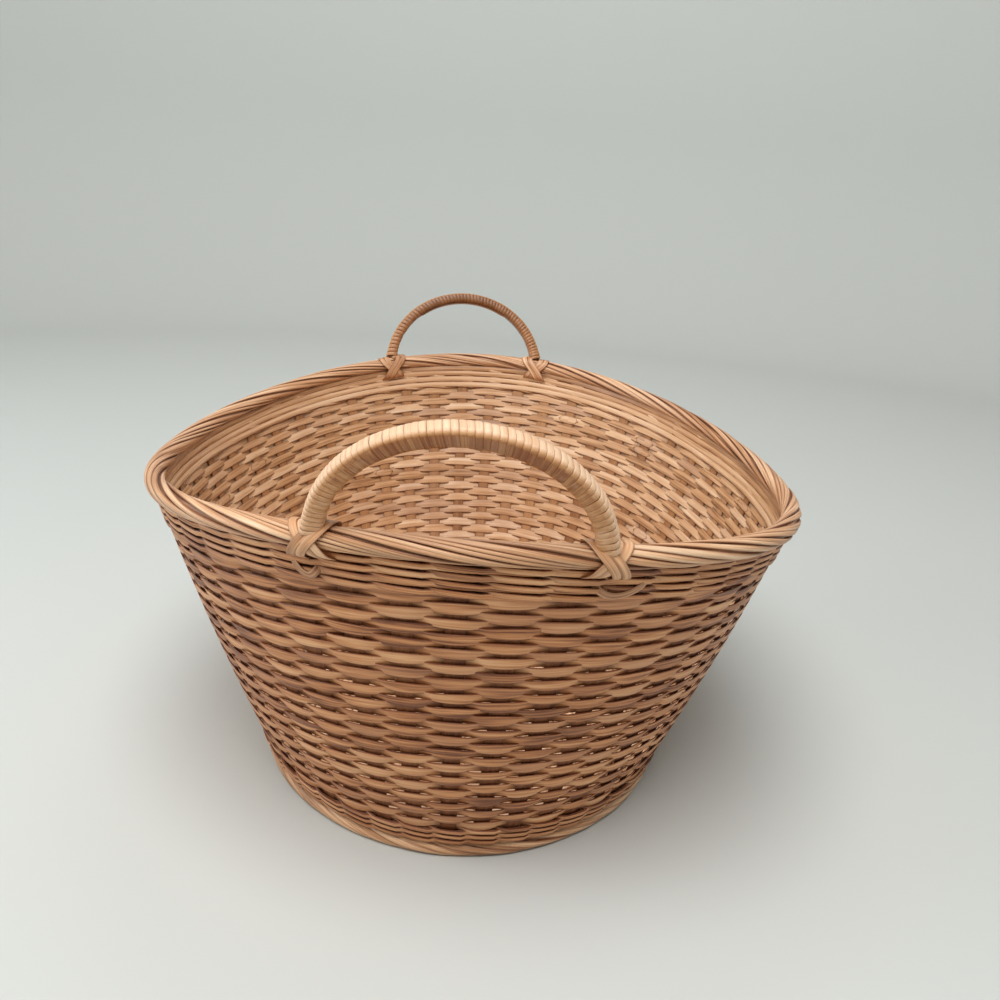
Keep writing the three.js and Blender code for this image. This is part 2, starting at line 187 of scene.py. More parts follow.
# Goes from -1 to 1 as a wave does, but stays longer at its ends
def snapped(wave, snap):
    return np.tanh(snap * wave) / math.tanh(snap)


def stepsToEnd(count):
    return np.minimum(np.arange(count), np.arange(count)[::-1])


# Cross sections: across the strand and through it, each from -1 to 1
def roundSection(share, squareness=0.85):
    turn = 2 * math.pi * share - math.pi / 2
    across = np.sign(np.cos(turn)) * np.abs(np.cos(turn)) ** squareness
    through = np.sign(np.sin(turn)) * np.abs(np.sin(turn)) ** squareness
    return across, through


def flatSection(share):
    return roundSection(share, squareness=0.55)


def ridgedSection(share, ridges=9, depth=0.4, shoulder=6):
    share = (share + 0.25) % 1.0
    across = np.where(share < 0.5, 4 * share - 1, 3 - 4 * share)
    hump = np.abs(np.sin(math.pi * ridges * (across + 1) / 2))
    face = (1 - np.abs(across) ** shoulder) * (1 - depth + depth * hump)
    return across, np.where(share < 0.5, -face, face)


def strand(centre, wide, out, halfWide, halfThick, tone, taper=0, paintedShade=0.0):
    steps = len(centre)
    halfWide = np.broadcast_to(np.asarray(halfWide, float), steps).copy()
    halfThick = np.broadcast_to(np.asarray(halfThick, float), steps).copy()
    if taper:  # the ends run to a point, so that the strand is closed
        ends = stepsToEnd(steps) / taper
        ease = np.sqrt(np.clip(1 - (1 - np.clip(ends, 0, 1)) ** 2, 0, 1))
        halfWide *= ease
        halfThick *= ease
    return {
        "centre": centre,
        "wide": wide,
        "out": out,
        "halfWide": halfWide,
        "halfThick": halfThick,
        "tone": tone,
        # painted shade: 1 where the outer side lies in a hollow and is darkened in its colour
        "paintedShade": paintedShade,  # 1 where the outer side lies in a dark hollow
    }


# Turns the width of a strand square to its path, with its face kept outwards
def layAlong(centre, face):
    ahead = unit(np.gradient(centre, axis=0))
    wide = unit(np.cross(face, ahead))
    return wide, unit(np.cross(ahead, wide))


def laidStrand(centre, face, halfWide, halfThick, tone, taper=0, paintedShade=0.0):
    return strand(centre, *layAlong(centre, face), halfWide, halfThick, tone, taper, paintedShade)


def readRows(items, key, width):
    values = np.empty(len(items) * width)
    items.foreach_get(key, values)
    return values.reshape(-1, width)


# Welds a mesh, turns its faces outwards and smooths it
def closeMesh(bm, mesh, weld):
    bmesh.ops.remove_doubles(bm, verts=bm.verts, dist=weld)
    bmesh.ops.recalc_face_normals(bm, faces=bm.faces)
    for face in bm.faces:
        face.smooth = True
    bm.to_mesh(mesh)
    bm.free()


strandWeld = 2e-6  # closes the seam and the pointed ends of a strand


# One mesh of many strands: a grid each, rolled up along its path and welded
def strandPiece(name, strands, sides, section=roundSection):
    bm = bmesh.new()
    bm.loops.layers.uv.new("along")
    for item in strands:
        steps = len(item["centre"]) - 1
        bmesh.ops.create_grid(bm, x_segments=steps, y_segments=sides, size=1, calc_uvs=True)
    mesh = bpy.data.meshes.new(name)
    bm.to_mesh(mesh)
    bm.free()
    places = readRows(mesh.vertices, "co", 3)
    mapping = readRows(mesh.uv_layers["along"].data, "uv", 2)
    tones = np.empty(len(places))
    paintedHollowShades = np.empty(len(places))
    vertexStart = 0
    loopStart = 0
    for item in strands:
        centre = item["centre"]
        steps = len(centre) - 1
        rows = slice(vertexStart, vertexStart + (steps + 1) * (sides + 1))
        corners = slice(loopStart, loopStart + steps * sides * 4)
        station = np.rint((places[rows, 0] + 1) / 2 * steps).astype(int)
        around = np.rint((places[rows, 1] + 1) / 2 * sides) / sides
        across, through = section(around % 1.0)
        width = item["wide"][station] * column(item["halfWide"][station] * across)
        depth = item["out"][station] * column(item["halfThick"][station] * through)
        places[rows] = centre[station] + width + depth
        tones[rows] = np.broadcast_to(item["tone"], steps + 1)[station]
        # painted shade of the hollows, kept to the outer side of each strand
        paintedHollowShades[rows] = np.broadcast_to(item["paintedShade"], steps + 1)[station] * np.clip(through, 0, 1)
        mapping[corners, 0] = pathLengths(centre)[np.rint(mapping[corners, 0] * steps).astype(int)]
        vertexStart = rows.stop
        loopStart = corners.stop
    mesh.vertices.foreach_set("co", places.ravel())
    mesh.uv_layers["along"].data.foreach_set("uv", mapping.ravel())
    mesh.attributes.new("tone", "FLOAT", "POINT").data.foreach_set("value", tones)
    mesh.attributes.new("hollow", "FLOAT", "POINT").data.foreach_set("value", paintedHollowShades)
    bm = bmesh.new()
    bm.from_mesh(mesh)
    closeMesh(bm, mesh, strandWeld)
    piece = bpy.data.objects.new(name, mesh)
    scene.collection.objects.link(piece)
    triangles = sum(len(polygon.vertices) - 2 for polygon in mesh.polygons)
    print(name, "has", len(strands), "strands and", triangles, "triangles")
    return piece


def dress(piece, finish, nodes):
    piece.data.materials.append(finish)
    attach(piece, "root")
    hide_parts(*nodes)


# Shader maths on sockets
class Wire:
    def __init__(self, finish, socket):
        self.finish = finish
        self.socket = socket

    def maths(self, operation, first, second):
        return self.finish.node("ShaderNodeMath", {"operation": operation}, {0: first, 1: second})

    def __add__(self, other):
        return self.maths("ADD", self, other)

    def __radd__(self, other):
        return self.maths("ADD", other, self)

    def __sub__(self, other):
        return self.maths("SUBTRACT", self, other)

    def __rsub__(self, other):
        return self.maths("SUBTRACT", other, self)

    def __mul__(self, other):
        return self.maths("MULTIPLY", self, other)

    def __rmul__(self, other):
        return self.maths("MULTIPLY", other, self)


class Finish:
    def __init__(self, name):
        self.material = bpy.data.materials.new(name)
        self.material.use_nodes = True
        self.tree = self.material.node_tree
        self.shader = self.tree.nodes["Principled BSDF"]

    def node(self, kind, settings, sockets, output=0):
        made = self.tree.nodes.new(kind)
        for key, value in settings.items():
            if key == "stops":
                ramp = made.color_ramp
                while len(ramp.elements) < len(value):
                    ramp.elements.new(0.5)
                for element, (place, colour) in zip(ramp.elements, value):
                    element.position = place
                    element.color = colour
            else:
                setattr(made, key, value)
        self.feed(made, sockets)
        return Wire(self, made.outputs[output])

    def feed(self, node, sockets):
        for key, value in sockets.items():
            if isinstance(value, Wire):
                self.tree.links.new(value.socket, node.inputs[key])
            else:
                node.inputs[key].default_value = value

    def noise(self, x, y, z, detail):
        spot = self.node("ShaderNodeCombineXYZ", {}, {0: x, 1: y, 2: z})
        return self.node("ShaderNodeTexNoise", {}, {"Vector": spot, "Scale": 1.0, "Detail": detail})

    def ease(self, value, start, end, most):
        return self.node(
            "ShaderNodeMapRange",
            {"interpolation_type": "SMOOTHSTEP"},
            {"Value": value, "From Min": start, "From Max": end, "To Min": 0.0, "To Max": most},
        )

    # Sockets 6 and 7 and output 2 of a Mix node are its colours
    def blend(self, kind, factor, first, second):
        settings = {"data_type": "RGBA", "blend_type": kind}
        return self.node("ShaderNodeMix", settings, {0: factor, 6: first, 7: second}, output=2)


def tint(red, green, blue):
    linear = []
    for value in (red, green, blue):
        value /= 255
        linear.append(value / 12.92 if value <= 0.04045 else ((value + 0.055) / 1.055) ** 2.4)
    return (*linear, 1.0)


# Rod and cane finishes: skin is a darker outer side, partly the rod's own skin and partly painted shade of
# the outer wall; edge is the strength of painted shade at the edges of a strip; streaks and bump are those
# of the fibres
plainLook = {"skinAndPaintedShade": tint(255, 255, 255), "coat": 0.0}
finishLooks = {
    "sideWillow": {
        "stops": [
            (0.0, tint(128, 80, 42)),
            (0.35, tint(200, 150, 106)),
            (0.65, tint(226, 182, 140)),
            (1.0, tint(246, 216, 184)),
        ],
        "skinAndPaintedShade": tint(236, 204, 174),
        "weathered": tint(200, 162, 136),
        "weathering": 0.4,
        "streaks": 1.3,
        "roughness": 0.5,
        "edge": 1.0,
        "bump": 0.35,
    },
    "stakeWillow": {
        "stops": [
            (0.0, tint(124, 78, 42)),
            (0.4, tint(162, 110, 66)),
            (0.7, tint(180, 128, 82)),
            (1.0, tint(198, 148, 100)),
        ],
        "skinAndPaintedShade": tint(200, 172, 158),
        "weathered": tint(186, 148, 120),
        "weathering": 0.3,
        "streaks": 0.9,
        "roughness": 0.6,
        "edge": 0.2,
        "bump": 0.3,
    },
    "borderWillow": {
        "stops": [
            (0.0, tint(150, 98, 62)),
            (0.35, tint(204, 150, 106)),
            (0.65, tint(228, 180, 138)),
            (1.0, tint(243, 208, 172)),
        ],
        "weathered": tint(206, 166, 138),
        "weathering": 0.3,
        "streaks": 1.0,
        "roughness": 0.46,
        "coat": 0.05,
        "edge": 0.8,
        "bump": 0.35,
    },
    "baseWillow": {
        "stops": [
            (0.0, tint(158, 112, 74)),
            (0.4, tint(210, 166, 126)),
            (0.7, tint(228, 188, 150)),
            (1.0, tint(240, 208, 174)),
        ],
        "weathered": tint(190, 156, 128),
        "weathering": 0.4,
        "streaks": 0.9,
        "roughness": 0.6,
        "edge": 0.35,
        "bump": 0.4,
    },
    "frontCane": {
        "stops": [
            (0.0, tint(142, 78, 28)),
            (0.3, tint(194, 137, 84)),
            (0.6, tint(226, 180, 140)),
            (1.0, tint(246, 216, 184)),
        ],
        "weathered": tint(206, 162, 128),
        "weathering": 0.2,
        "streaks": 0.45,
        "roughness": 0.42,
        "coat": 0.1,
        "edge": 0.22,
        "bump": 0.2,
    },
    "rearCane": {
        "stops": [
            (0.0, tint(124, 76, 38)),
            (0.35, tint(168, 112, 66)),
            (0.7, tint(198, 142, 92)),
            (1.0, tint(220, 174, 124)),
        ],
        "weathered": tint(166, 122, 86),
        "weathering": 0.2,
        "streaks": 0.45,
        "roughness": 0.4,
        "coat": 0.12,
        "edge": 0.45,
        "bump": 0.2,
    },
    "handleRod": {
        "stops": [
            (0.0, tint(70, 40, 20)),
            (0.5, tint(104, 62, 32)),
            (1.0, tint(132, 84, 48)),
        ],
        "weathered": tint(110, 84, 64),
        "weathering": 0.2,
        "streaks": 0.7,
        "roughness": 0.6,
        "edge": 0.1,
        "bump": 0.3,
    },
}

# Grain of all the finishes, and the colours of their painted shade. A pattern has its scale along a strand,
# round it and from strand to strand
grain = {
    "fibre": {"along": 26, "around": 15, "apart": 61, "detail": 4.0, "share": 1.1},
    "blotch": {"along": 11, "around": 2, "apart": 97, "detail": 2.0, "share": 0.8},
    "worn": {"along": 6, "apart": 143, "slice": 3.0, "detail": 1.0, "start": 0.5, "end": 0.68},
    "noiseMiddle": 0.5,
    "toneShare": 0.5,
    "toneStart": 0.25,
    "outerEdge": 0.4,  # where round a strand the outer side starts
    "innerStreaks": 0.75,
    "moreOuterStreaks": 0.7,
    # colour of the painted shade along the edges of strips and between winding turns
    "paintedEdgeShade": tint(138, 86, 48),
    # colour of the painted shade in the hollows beside the stakes
    "paintedHollowColour": tint(86, 44, 20),
    "roughnessSwing": 0.25,
    "roughnessDrop": 0.12,
    "coatRoughness": 0.3,
    "bumpDistance": 0.0006,
}


def makeFinish(name):
    look = {**plainLook, **finishLooks[name]}
    finish = Finish(name)
    mapping = finish.node("ShaderNodeUVMap", {"uv_map": "along"}, {})
    along = finish.node("ShaderNodeSeparateXYZ", {}, {0: mapping}, output=0)
    around = finish.node("ShaderNodeSeparateXYZ", {}, {0: mapping}, output=1)
    tone = finish.node("ShaderNodeAttribute", {"attribute_name": "tone"}, {}, output="Fac")
    hollow = finish.node("ShaderNodeAttribute", {"attribute_name": "hollow"}, {}, output="Fac")

    def pattern(form):
        places = (along * form["along"], around * form["around"], tone * form["apart"])
        return finish.noise(*places, form["detail"])

    fibre = pattern(grain["fibre"])
    blotch = pattern(grain["blotch"])
    form = grain["worn"]
    worn = finish.noise(along * form["along"], tone * form["apart"], form["slice"], form["detail"])
    turn = around * (2 * math.pi)
    brink = finish.node("ShaderNodeMath", {"operation": "SINE"}, {0: turn})
    facing = finish.node("ShaderNodeMath", {"operation": "COSINE"}, {0: turn})
    edge = brink * brink
    outer = finish.ease(facing, grain["outerEdge"], -grain["outerEdge"], 1.0)
    streaks = (outer * grain["moreOuterStreaks"] + grain["innerStreaks"]) * look["streaks"]
    middle = grain["noiseMiddle"]
    marks = (fibre - middle) * grain["fibre"]["share"] + (blotch - middle) * grain["blotch"]["share"]
    level = tone * grain["toneShare"] + marks * streaks + grain["toneStart"]
    colour = finish.node("ShaderNodeValToRGB", {"stops": look["stops"]}, {0: level})
    grey = finish.ease(worn, form["start"], form["end"], look["weathering"])
    colour = finish.blend("MIX", grey, colour, look["weathered"])
    # painted shade darkens each strip towards its edges, where strips meet
    colour = finish.blend("MULTIPLY", edge * edge * look["edge"], colour, grain["paintedEdgeShade"])
    # darker outer side: partly the rod's own skin, partly painted shade
    colour = finish.blend("MULTIPLY", outer, colour, look["skinAndPaintedShade"])
    # painted shade: the outer side is darkened in the hollows beside the stakes
    colour = finish.blend("MULTIPLY", hollow, colour, grain["paintedHollowColour"])
    roughness = fibre * grain["roughnessSwing"] + (look["roughness"] - grain["roughnessDrop"])
    sockets = {"Strength": look["bump"], "Distance": grain["bumpDistance"], "Height": fibre}
    bump = finish.node("ShaderNodeBump", {}, sockets)
    finish.feed(finish.shader, {
        "Base Color": colour,
        "Roughness": roughness,
        "Coat Weight": look["coat"],
        "Coat Roughness": grain["coatRoughness"],
        "Normal": bump,
    })
    return finish.material


finishes = {name: makeFinish(name) for name in finishLooks}
print("finishes made:", len(finishes))

# Rows of the side, from the foot up: bottom wale, woven courses, top wale
sideRows = {
    "bottomWales": 3,
    "courses": 33,
    "topWales": 4,
    "waleHeight": 0.0050,
    "lowCourse": 0.0061,  # the rows are beaten down closer towards the rim
    "highCourse": 0.0047,
}
rowHeights = np.concatenate([
    np.full(sideRows["bottomWales"], sideRows["waleHeight"]),
    np.linspace(sideRows["lowCourse"], sideRows["highCourse"], sideRows["courses"]),
    np.full(sideRows["topWales"], sideRows["waleHeight"]),
])
rowEdges = runningSum(rowHeights)
rowEdges = rowEdges / rowEdges[-1] * (basket["highShare"] - basket["lowShare"]) + basket["lowShare"]
rowShares = (rowEdges[1:] + rowEdges[:-1]) / 2

# The whole weave rises and dips a little together
weaveDip = {
    "size": 0.0006,
    "waves": (1, 2, 3, 5),
    "twist": 5,  # how far the waves may shift from the foot to the rim
    "seed": 11,
}
dipRandom = np.random.default_rng(weaveDip["seed"])
dipPhases = dipRandom.uniform(0, 2 * math.pi, (len(weaveDip["waves"]), 2))


def weaveDrift(angle, share):
    total = 0
    for wave, (phase, climb) in zip(weaveDip["waves"], dipPhases):
        total = total + np.sin(wave * angle + phase + weaveDip["twist"] * share * math.sin(climb))
    return weaveDip["size"] * total * np.sin(math.pi * share)


# Plain weave: a flat strip over one stake and under the next. A wander has its size and its waves
sideStrip = {
    "lowHalf": 0.0042,  # half width at the foot
    "highHalf": 0.0035,
    "halfThick": 0.00042,
    "swing": 0.00095,
    "tilt": 11,  # degrees that the upper edge leans out where two rows pass each other
    "snap": 1.4,  # how flat the strip lies on a stake
    "lap": 0.35,  # stake gaps that a strip runs on at each end
    "tuck": 0.0006,  # how steeply its ends dip in
    "swingWander": (0.05, (7, 11, 17)),
    "liftWander": (0.00036, (5, 9, 14, 23)),
    "widthWander": (0.09, (3, 8, 13, 24)),
    "tones": (0.1, 0.9),
    # power of the painted shade in a hollow: more keeps it to the hollow's middle
    "paintedShadePower": 1.3,  # more keeps the dark of a hollow to its middle
    "stationsEach": 8,
    "sides": 10,
    "parts": ("lower", "middle", "upper"),
    "seed": 21,
}


def weaveCourse(row, random):
    share = rowShares[row]
    each = sideStrip["stationsEach"]
    lap = sideStrip["lap"]
    first = 2 * random.integers(0, basket["stakeCount"] // 2) + (row + 1) % 2
    phase = lappedRound(first, each, lap)
    angle = stakeAngle(phase)
    wave = np.cos(math.pi * (phase + row))
    swing = snapped(wave, sideStrip["snap"]) * sideStrip["swing"]
    swing = swing * (1 + wander(random, angle, *sideStrip["swingWander"]))
    ends = stepsToEnd(len(phase)) / each
    swing = swing - sideStrip["tuck"] * np.clip(2 * lap - ends, 0, 1)
    lift = weaveDrift(angle, share) + wander(random, angle, *sideStrip["liftWander"])
    point, _, out, rise = wallFrame(angle, share)
    centre = point + out * column(swing) + rise * column(lift)
    wide, face = layAlong(centre, out)
    tilt = column(math.radians(sideStrip["tilt"]) * (1 - np.abs(wave)))
    leanWide = wide * np.cos(tilt) + face * np.sin(tilt)
    leanFace = face * np.cos(tilt) - wide * np.sin(tilt)
    halfWide = between(sideStrip["lowHalf"], sideStrip["highHalf"], share) * slantScale(angle)
    halfWide = halfWide * (1 + wander(random, angle, *sideStrip["widthWander"]))
    tone = random.uniform(*sideStrip["tones"])
    # painted shade on the outer side where the strip passes behind a stake
    paintedShade = np.clip(-wave, 0, 1) ** sideStrip["paintedShadePower"]
    return strand(centre, leanWide, leanFace, halfWide, sideStrip["halfThick"], tone, taper=2, paintedShade=paintedShade)


def buildSideWeave():
    random = np.random.default_rng(sideStrip["seed"])
    courseNodes = sorted(nodesWith("weave_course"))
    parts = sideStrip["parts"]
    count = sideRows["courses"] // len(parts)
    each = len(courseNodes) // len(parts)
    for part, title in enumerate(parts):
        start = sideRows["bottomWales"] + part * count
        strands = [weaveCourse(row, random) for row in range(start, start + count)]
        piece = strandPiece("side_weave_" + title, strands, sideStrip["sides"], flatSection)
        dress(piece, finishes["sideWillow"], courseNodes[part * each : (part + 1) * each])


buildSideWeave()

# Waling: three round rods together, each in front of two stakes and behind one
waleRod = {
    "rods": 3,
    "halfWide": 0.00185,
    "halfThick": 0.00080,
    "swing": 0.0016,
    "snap": 5,  # how fast a rod goes in and out
    "insideGaps": 0.52,  # stake gaps to each side of a stake where the rod is behind it
    "passing": 0.0005,  # a rod passes over its neighbour first, and then under it
    "rodRise": 0.0029,  # from the top to the bottom of a rod's own slant
    "slantReach": 2,  # stations to each side over which the turn of a slant is softened
    "lap": 0.3,
    "liftWander": (0.00014, (5, 9, 14)),
    "thickWander": (0.04, (3, 7, 12)),
    "linerHalf": 0.0027,  # a flat rod behind the stakes, between two rows
    "linerSwing": 0.0017,
    "linerDrop": 0.0012,
    # painted shade on the liner's outer side
    "linerPaintedShade": 0.6,
    "linerLiftWander": (0.0003, (4, 7, 11)),
    "linerSwingWander": (0.0001, (5, 9, 13)),
    "stationsEach": 7,
    "sides": 8,
    "seed": 31,
}


def waleRow(row, random):
    share = rowShares[row]
    rods = waleRod["rods"]
    strands = []
    for rod in range(rods):
        first = rods * random.integers(0, basket["stakeCount"] // rods) - rod - row
        phase = lappedRound(first, waleRod["stationsEach"], waleRod["lap"])
        angle = stakeAngle(phase)
        turn = (phase + rod + row) % rods
        near = np.minimum(turn, rods - turn)
        inside = 0.5 - 0.5 * np.tanh(waleRod["snap"] * (near - waleRod["insideGaps"]))
        swing = waleRod["swing"] * (1 - 2 * inside)
        swing = swing + waleRod["passing"] * np.where(turn < rods / 2, 1, -1) * (1 - inside)
        slant = np.interp(turn, (0, 0.5, rods - 0.5, rods), (0, 0.5, -0.5, 0)) * waleRod["rodRise"]
        scale = slantScale(angle)
        lift = soften(slant, waleRod["slantReach"], "edge") * scale + weaveDrift(angle, share)
        lift = lift + wander(random, angle, *waleRod["liftWander"])
        point, _, out, rise = wallFrame(angle, share)
        centre = point + out * column(swing) + rise * column(lift)
        thick = 1 + wander(random, angle, *waleRod["thickWander"])
        tone = random.uniform(0, 1)
        halfWide = waleRod["halfWide"] * thick * scale
        halfThick = waleRod["halfThick"] * thick
        # painted shade on the outer side where a rod lies behind a stake
        strands.append(laidStrand(centre, out, halfWide, halfThick, tone, taper=2, paintedShade=inside))
    return strands


# A rod that lies behind all the stakes, in the gap above a row; its outer side is darkened with painted
# shade
def linerRod(row, random):
    angle = ringAngles()
    share = rowEdges[row + 1]
    point, _, out, rise = wallFrame(angle, share)
    lift = weaveDrift(angle, share) + wander(random, angle, *waleRod["linerLiftWander"])
    lift = lift - waleRod["linerDrop"]
    swing = waleRod["linerSwing"] + wander(random, angle, *waleRod["linerSwingWander"])
    centre = point - out * column(swing) + rise * column(lift)
    sizes = (waleRod["linerHalf"], waleRod["halfThick"])
    tone = random.uniform(0, 1)
    return laidStrand(centre, out, *sizes, tone, taper=1, paintedShade=waleRod["linerPaintedShade"])


def buildWales():
    random = np.random.default_rng(waleRod["seed"])
    below = range(sideRows["bottomWales"])
    above = range(len(rowShares) - sideRows["topWales"], len(rowShares))
    for title, rows in (("bottom_wale", below), ("top_wale", above)):
        strands = [item for row in rows for item in waleRow(row, random)]
        strands += [linerRod(row, random) for row in rows]
        piece = strandPiece(title + "_rods", strands, waleRod["sides"])
        dress(piece, finishes["sideWillow"], nodesWith(title))


buildWales()

# Stakes: flat split rods with fine ridges, up into the border
stakeStrip = {
    "footHalf": 0.0048,
    "topHalf": 0.0055,
    "halfThick": 0.00048,
    "inset": 0.0006,  # a stake lies a little to the inside of the weave's middle
    "lowShare": 0.015,
    "highShare": 0.985,
    "lean": 0.0008,
    "widths": (0.93, 1.05),
    "stations": 16,
    "sides": 54,
    "seed": 41,
}


def buildStakes():
    random = np.random.default_rng(stakeStrip["seed"])
    share = np.linspace(stakeStrip["lowShare"], stakeStrip["highShare"], stakeStrip["stations"])
    strands = []
    for index in range(basket["stakeCount"]):
        lean = random.uniform(-stakeStrip["lean"], stakeStrip["lean"]) * np.sin(math.pi * share)
        angle = np.full_like(share, stakeAngle(index))
        point, along, out, _ = wallFrame(angle, share)
        centre = point + along * column(lean) - out * stakeStrip["inset"]
        halfWide = between(stakeStrip["footHalf"], stakeStrip["topHalf"], share)
        halfWide = halfWide * random.uniform(*stakeStrip["widths"])
        tone = random.uniform(0, 1)
        strands.append(strand(centre, along, out, halfWide, stakeStrip["halfThick"], tone, taper=1))
    piece = strandPiece("stake_strips", strands, stakeStrip["sides"], ridgedSection)
    dress(piece, finishes["stakeWillow"], borderNodes)


buildStakes()

# Rolled borders: what the rim and the foot have in common
borderTip = {
    "endShare": 0.14,  # share of a tip, at each end, where it dips under the rest
    "endSize": 0.55,
    "groupTones": (0.25, 0.75),
    "toneSpread": 0.12,
    "groupTurn": 0.08,  # radians
    "groupSway": (0.05, (1, 2)),
    "groupLift": (-0.04, 0.06),
    "slide": 0.2,  # stake gaps
    "rodSway": (0.035, (1, 2, 3)),
    "rodLift": (0.02, (1, 2)),
    "swayAngle": 6,  # radians of the wander's waves from end to end of a tip
    "sizes": (0.86, 1.08),
    "slimming": 0.7,  # rods that share a tip are slimmer
    "heartTone": 0.1,
    "sides": 8,
}

# Rim border: the tip of each stake, rolled once round the rim over the next stakes
rimRoll = {
    "turnStakes": 8,  # stakes that one full roll passes
    "turns": 1.18,
    "startTurn": -95,  # degrees, from outwards towards upwards
    "rods": (1, 1, 2),  # rods side by side in a tip, one of these numbers
    "radius": 0.0051,
    "tipHalf": 0.0019,
    "halfThick": 0.00105,
    "tuck": 0.0024,
    "coreRadius": 0.0042,
    "stations": 64,
    "seed": 51,
}

# Foot border: the same roll, smaller
footRoll = {
    "turnStakes": 7,
    "turns": 0.78,
    "startTurn": 105,
    "rods": (1,),
    "radius": 0.0030,
    "tipHalf": 0.0022,
    "halfThick": 0.0016,
    "tuck": 0.0014,
    "coreRadius": 0.0024,
    "stations": 40,
    "seed": 61,
}


def rollStrands(form, share, random):
    strands = []
    travel = np.linspace(0, 1, form["stations"])
    sway = borderTip["swayAngle"] * travel
    ends = np.clip(np.minimum(travel, 1 - travel) / borderTip["endShare"], 0, 1)
    for index in range(basket["stakeCount"]):
        rods = random.choice(form["rods"])
        groupTone = random.uniform(*borderTip["groupTones"])
        groupTurn = random.uniform(-borderTip["groupTurn"], borderTip["groupTurn"])
        groupTurn = groupTurn + wander(random, sway, *borderTip["groupSway"])
        groupLift = random.uniform(*borderTip["groupLift"])
        for rod in range(rods):
            slide = random.uniform(-borderTip["slide"], borderTip["slide"])
            phase = index + travel * form["turns"] * form["turnStakes"] + slide
            turn = math.radians(form["startTurn"]) + groupTurn - 2 * math.pi * form["turns"] * travel
            turn = turn + 2 * math.pi / (form["turnStakes"] * rods) * (rod - (rods - 1) / 2)
            turn = turn + wander(random, sway, *borderTip["rodSway"])
            radius = form["radius"] - form["tuck"] * (1 - ends) ** 2
            radius = radius * (1 + groupLift + wander(random, sway, *borderTip["rodLift"]))
            point, out, rise = ringFrame(stakeAngle(phase), share)
            face = out * column(np.cos(turn)) + rise * column(np.sin(turn))
            centre = point + face * column(radius)
            size = random.uniform(*borderTip["sizes"]) * between(borderTip["endSize"], 1, ends)
            tone = np.clip(groupTone + random.normal(0, borderTip["toneSpread"]), 0, 1)
            half = form["tipHalf"] / rods ** borderTip["slimming"] * size
            strands.append(laidStrand(centre, face, half, form["halfThick"] * size, tone, taper=3))
    return strands


# The hidden heart of a roll, which keeps light from passing between its strands
def rollHeart(form, share):
    point, out, rise = ringFrame(ringAngles(), share)
    return strand(point, rise, out, form["coreRadius"], form["coreRadius"], borderTip["heartTone"], taper=1)


def buildBorder(title, form, share, nodes):
    random = np.random.default_rng(form["seed"])
    strands = rollStrands(form, share, random) + [rollHeart(form, share)]
    piece = strandPiece(title, strands, borderTip["sides"])
    dress(piece, finishes["borderWillow"], nodes)


buildBorder("rim_border_strands", rimRoll, 1.0, borderNodes)
buildBorder("foot_border_strands", footRoll, 0.0, ["foot_border"])

# The two handles, with the angle of each one's middle. The rear one stands one stake gap off centre
handles = {
    "front_handle": {"middle": frontAngle, "core": 0.0043, "cane": "frontCane", "seed": 71},
    "rear_handle": {"middle": rearAngle + stakePitch, "core": 0.0036, "cane": "rearCane", "seed": 72},
}

# Form of a handle: a bent rod wound with flat cane
handleBow = {
    "halfGaps": 2.5,  # stake gaps from the middle of a handle to each leg
    "rise": 0.064,
    "lean": 22.6,  # degrees outwards
    "legDepth": 0.007,
    "archStations": 400,
    "legStations": 12,
    "probe": 0.001,  # step along the bow to find its direction
    "rodStations": 90,
    "rodSides": 14,
    "rodTone": 0.5,
    "leftPitch": 0.0027,  # from turn to turn of the winding
    "rightPitch": 0.0037,
    "footOverlap": 0.001,  # how far the winding goes down into the border
    "pitchStations": 600,
    # painted light and shade on the winding: its outer side pale as if lit from above, its inner sides dark
    # as if in shade, most near the top of the bow
    "paintedLitTone": 1.0,  # the outer side of the bow
    "paintedShadeTone": -0.4,  # its handled sides near the top
    "legPaintedShadeTone": 0.45,
    "paintedLightEdge": (0.5, 0.8),  # where round the winding the pale side starts, and is full
    "squareness": 4.0,  # 2 is a round winding, more is squarer
    "stripThick": 0.00036,  # at the top of the bow
    "legThick": 0.00050,
    "stripCover": 0.56,  # half width against the pitch, so that the turns overlap
    "legCover": 0.505,
    "legShare": 0.3,  # share of the bow over which a leg becomes the top
    "clearance": 0.0001,
    "flare": 0.0008,  # the winding thickens at its feet
    "flareLength": 0.010,
    "flarePower": 1.5,
    "pitchJitter": 0.00012,
    "radiusJitter": 0.00008,
    "stationsEach": 20,
    "sides": 10,
}

# A strip that runs along under the bow
leader = {
    "start": 0.27,
    "end": 0.74,
    "half": 0.0021,
    "thick": 0.0004,
    "depth": 3,  # strip thicknesses of the winding that it lies under the rod
    "clearance": 0.0002,
    "endDip": 0.0016,
    "endShare": 0.15,
    "tone": 0.2,
    "stations": 60,
}


